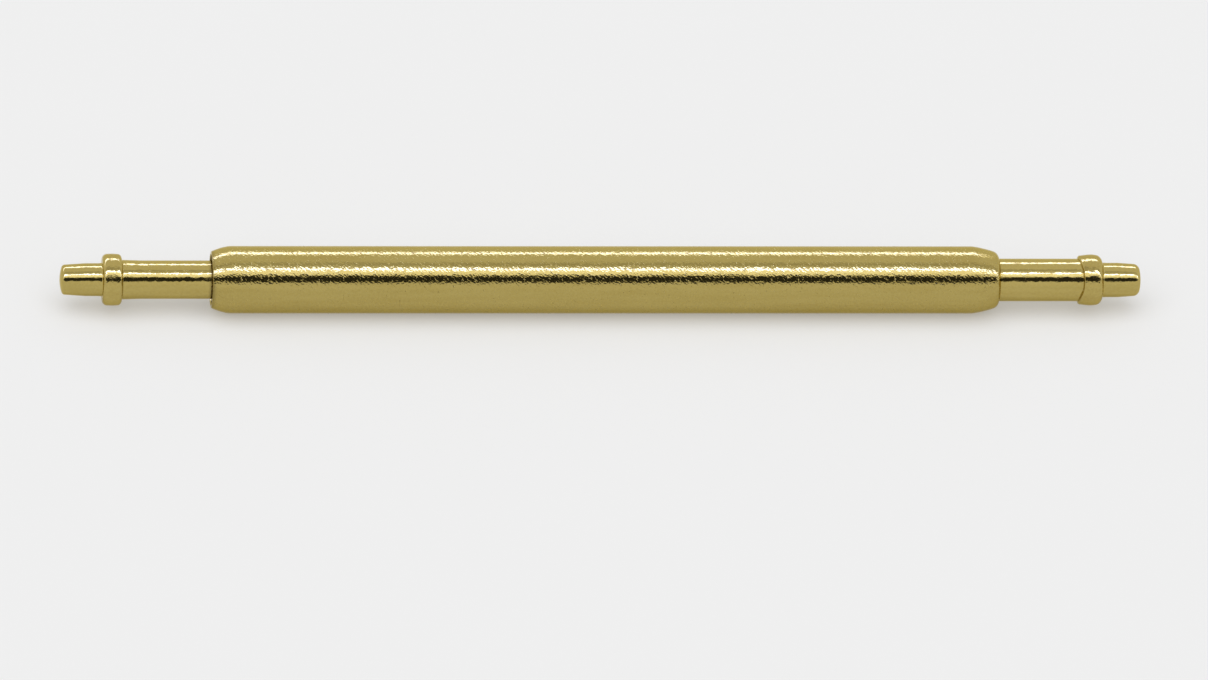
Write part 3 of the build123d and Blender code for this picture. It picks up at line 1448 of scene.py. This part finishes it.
@dataclass
class Studio:
    """Pale floor, soft light and the camera.

    Args:
        tone: Brightness of the floor and the backdrop.
        floor_level: Height of the floor, where the tube lies on it.
        floor_half: Half of the floor's width.
        even: Share of the floor's tone that shadows leave alone.
        shadow_warmth: Colour of that share, as parts of the tone, warm so that shadows take a painted warm
            bounce. The rest makes up for it.
        fibre_size: Size of the lumps in the floor's paper.
        fibre_tone: Tone of the darkest of them, as a part of the floor's.
        fibre_swing: Noise at which the paper is darkest. It is lightest at minus that.
        fill: Light that comes evenly from all round.
        key: Strength of the soft light from the front.
        key_angle: Its angle above the front horizon, in degrees.
        key_aside: How far to the left it comes from, as a part of its distance.
        key_spread: Its width, in degrees.
        around: Brightness that metal sees all round.
        softbox: Colour of the softboxes' light, slightly cool as daylight is.
        softbox_from: Brightness above which a panel's light takes on that colour.
        softbox_to: Brightness at which it has all of it.
        panels: Softboxes and flags, each laid over those before it.
        distance: Of the camera from the bar.
        yaw: Of the camera to the left, in degrees.
        elevation: Of the camera above the floor, in degrees.
        film: Width of the camera's film.
        nearest: Where the camera's view starts, in metres.
        farthest: Where it ends, in metres.
        scale: Photograph pixels to a millimetre at the bar.
        centre: Pixel of the photograph at which the middle of the bar stands.
        middle: Place of that middle along X.
    """

    tone: float = 0.855
    floor_level: float = -0.75
    floor_half: float = 4000.0
    even: float = 0.34
    # Warm tint of the share that shadows leave alone, a painted warm bounce
    shadow_warmth: tuple[float, float, float] = (1.04, 1.0, 0.93)
    fibre_size: float = 3.0
    fibre_tone: float = 0.996
    fibre_swing: float = 0.3
    fill: float = 0.52
    key: float = 1.71
    key_angle: float = 68.0
    key_aside: float = 0.12
    key_spread: float = 85.0
    around: float = 0.91
    softbox: tuple[float, float, float] = (0.85, 1.03, 2.6)
    softbox_from: float = 0.8
    softbox_to: float = 6.0
    panels: tuple[Panel, ...] = (
        Panel(lowest=82.0, highest=94.0, soft=3.0, strength=0.64),
        Panel(lowest=51.5, highest=66.0, soft=2.0, strength=1.85),
        Panel(lowest=67.4, highest=73.0, soft=1.5, strength=5.9),
        Panel(lowest=133.2, highest=141.8, soft=2.4, strength=4.4, left=0.75, right=0.38),
        Panel(lowest=24.0, highest=48.0, soft=2.0, strength=0.04),
    )
    distance: float = 400.0
    yaw: float = 6.5
    elevation: float = 34.0
    film: float = 36.0
    nearest: float = 0.01
    farthest: float = 20.0
    scale: float = 44.93
    centre: tuple[float, float] = (601.4, 279.8)
    middle: float = -0.078

    def build_floor(self) -> bpy.types.Object:
        """Lays the floor, a square sheet of pale matt paper.

        Returns:
            The floor.
        """
        h, z = self.floor_half, self.floor_level
        points = np.array([(-h, -h, z), (h, -h, z), (h, h, z), (-h, h, z)])
        floor = mesh_object("floor", points, np.array([[0, 1, 2, 3]]), np.empty((0, 3), int))
        floor.data.materials.append(self.floor_material())
        return floor

    def floor_material(self) -> bpy.types.Material:
        """Pale matt paper with a faint fibre, part of whose tone shadows leave alone. That part is warm,
        which paints a warm bounce into the shadows.

        Returns:
            The new material.
        """
        material = bpy.data.materials.new("pale_paper")
        material.use_nodes = True
        bench = Bench(material.node_tree)
        fibre = bench.noise(bench.millimetres(), self.fibre_size, detail=3.0)
        # The share that shadows leave alone is warm, and the lit rest is cooler to match, which paints a
        # warm bounce into the shadows
        warm = [self.tone * share for share in self.shadow_warmth]
        rest = [(self.tone - self.even * part) / (1 - self.even) for part in warm]
        shade = [part * self.fibre_tone for part in rest]
        dark = fibre.rise(-self.fibre_swing, self.fibre_swing)
        colour = bench.tint(dark, opaque(*rest), opaque(*shade))
        matt = bench.add("ShaderNodeBsdfDiffuse", sockets={"Color": colour})
        plain = bench.add("ShaderNodeEmission", sockets={"Color": opaque(*warm), "Strength": 1.0})
        mixed = bench.add(
            "ShaderNodeMixShader",
            sockets={0: self.seen(bench) * self.even, 1: matt.outputs[0], 2: plain.outputs[0]},
        )
        bench.add("ShaderNodeOutputMaterial", sockets={"Surface": mixed.outputs[0]})
        return material

    @staticmethod
    def seen(bench: Bench) -> Signal:
        """Tells looks at the backdrop from the light that it gives.

        Args:
            bench: The bench of the backdrop's material.

        Returns:
            1 where the camera looks, straight or by way of metal or glass, and else 0.
        """
        path = bench.add("ShaderNodeLightPath")
        camera = Signal(bench, path.outputs["Is Camera Ray"])
        metal = Signal(bench, path.outputs["Is Glossy Ray"])
        glass = Signal(bench, path.outputs["Is Transmission Ray"])
        return camera.at_least(metal).at_least(glass)

    def build_world(self) -> bpy.types.World:
        """Lights the studio evenly, and shows the panels to polished metal.

        Returns:
            The new world.
        """
        world = bpy.data.worlds.new("studio")
        world.use_nodes = True
        bench = Bench(world.node_tree)
        heading = bench.add("ShaderNodeTexCoord").outputs["Generated"]
        split = bench.add("ShaderNodeSeparateXYZ", sockets={"Vector": heading})
        x, y, z = (Signal(bench, split.outputs[axis]) for axis in "XYZ")
        angle = z.bearing(-y) * math.degrees(1)
        light = bench.plain(self.around)
        for panel in self.panels:
            light = panel.over(light, angle, x)
        path = bench.add("ShaderNodeLightPath")
        metal = Signal(bench, path.outputs["Is Glossy Ray"])
        camera = Signal(bench, path.outputs["Is Camera Ray"])
        strength = self.fill + (light - self.fill) * metal + (self.tone - self.fill) * camera
        white = opaque(1.0, 1.0, 1.0)
        bright = light.rise(self.softbox_from, self.softbox_to)
        colour = bench.tint(metal * bright, white, opaque(*self.softbox))
        background = bench.add("ShaderNodeBackground", sockets={"Color": colour, "Strength": strength})
        bench.add("ShaderNodeOutputWorld", sockets={"Surface": background.outputs[0]})
        bpy.context.scene.world = world
        return world

    def build_key(self) -> bpy.types.Object:
        """Hangs the broad soft light in front of the bar. The panels stand for it in the metal.

        Returns:
            The lamp.
        """
        lamp = bpy.data.lights.new("front_softbox", "SUN")
        lamp.energy = self.key
        lamp.angle = math.radians(self.key_spread)
        key = bpy.data.objects.new("front_softbox", lamp)
        up = math.radians(self.key_angle)
        towards = Vector((-self.key_aside, -math.cos(up), math.sin(up)))
        key.rotation_euler = towards.to_track_quat("Z", "Y").to_euler()
        key.visible_glossy = False
        bpy.context.scene.collection.objects.link(key)
        return key

    def build_camera(self) -> bpy.types.Object:
        """Sets the camera so that the bar lies level, at its place in the photograph.

        The camera looks along the line from itself to the bar. Its right and up are
        turned about that line until the bar's axis shows level, and the aim is then
        moved across by as many pixels as the bar is off the middle of the frame.

        Returns:
            The camera.
        """
        yaw, up = math.radians(self.yaw), math.radians(self.elevation)
        back = Vector((-math.sin(yaw) * math.cos(up), -math.cos(yaw) * math.cos(up), math.sin(up)))
        axis = Vector((1.0, 0.0, 0.0))
        right = (axis - back * axis.dot(back)).normalized()
        above = back.cross(right)
        across = (PHOTO_WIDTH / 2 - self.centre[0]) / self.scale
        down = (PHOTO_HEIGHT / 2 - self.centre[1]) / self.scale
        aim = (axis * self.middle + right * across - above * down) * MM
        data = bpy.data.cameras.new("camera")
        data.sensor_width = self.film
        data.lens = self.film * self.distance * self.scale / PHOTO_WIDTH
        data.clip_start, data.clip_end = self.nearest, self.farthest
        camera = bpy.data.objects.new("camera", data)
        turn = Matrix((right, above, back)).transposed().to_4x4()
        camera.matrix_world = Matrix.Translation(aim + back * self.distance * MM) @ turn
        bpy.context.scene.collection.objects.link(camera)
        bpy.context.scene.camera = camera
        return camera

    def build(self) -> None:
        """Sets up the floor, the light, the camera and the plain view of colours."""
        self.build_floor()
        self.build_world()
        self.build_key()
        self.build_camera()
        bpy.context.scene.view_settings.view_transform = "Standard"


def left_plunger() -> Plunger:
    """The plunger with the thinner neck.

    Returns:
        The plunger, before its mesh is made.
    """
    return Plunger(
        side=Side.LEFT,
        neck_radius=0.427,
        neck_reach=1.934,
        neck_root=0.035,
        shoulder_radius=0.58,
        shoulder_length=0.433,
        inner_rounding=0.088,
        outer_rounding=0.11,
        tip_radius=0.366,
        tip_length=0.943,
        tip_taper=0.034,
        head_front=0.456,
        neck_flare=0.014,
        # Dark shade painted on the neck where it leaves the tube
        mouth_shade=1.0,
    )


def right_plunger() -> Plunger:
    """The plunger with the thicker neck, whose shoulder has a ragged crease.

    Returns:
        The plunger, before its mesh is made.
    """
    return Plunger(
        side=Side.RIGHT,
        neck_radius=0.476,
        neck_reach=1.786,
        neck_root=0.01,
        shoulder_radius=0.578,
        shoulder_length=0.497,
        inner_rounding=0.05,
        outer_rounding=0.165,
        tip_radius=0.384,
        tip_length=0.871,
        tip_taper=0.032,
        tip_corner=0.145,
        head_front=0.558,
        creases=(Crease(place=1.790, width=0.010, depth=0.009, stray=0.004, seed=11),),
        crown=0.04,
        pinch=0.05,
    )


def report(piece: bpy.types.Object) -> None:
    """Logs a piece's name and how many triangles it has.

    Args:
        piece: The piece's object.
    """
    counts = np.empty(len(piece.data.polygons), np.int32)
    piece.data.polygons.foreach_get("loop_total", counts)
    LOG.info("%s: %d triangles", piece.name, int((counts - 2).sum()))


def main() -> None:
    """Builds the spring bar and its studio, piece by piece."""
    logging.basicConfig(level=logging.INFO, format="%(message)s")
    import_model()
    report(Tube().build())
    for plunger in (left_plunger(), right_plunger()):
        report(plunger.build())
    for half in CoilSpring().build():
        report(half)
    Studio().build()


if __name__ == "__main__":
    main()
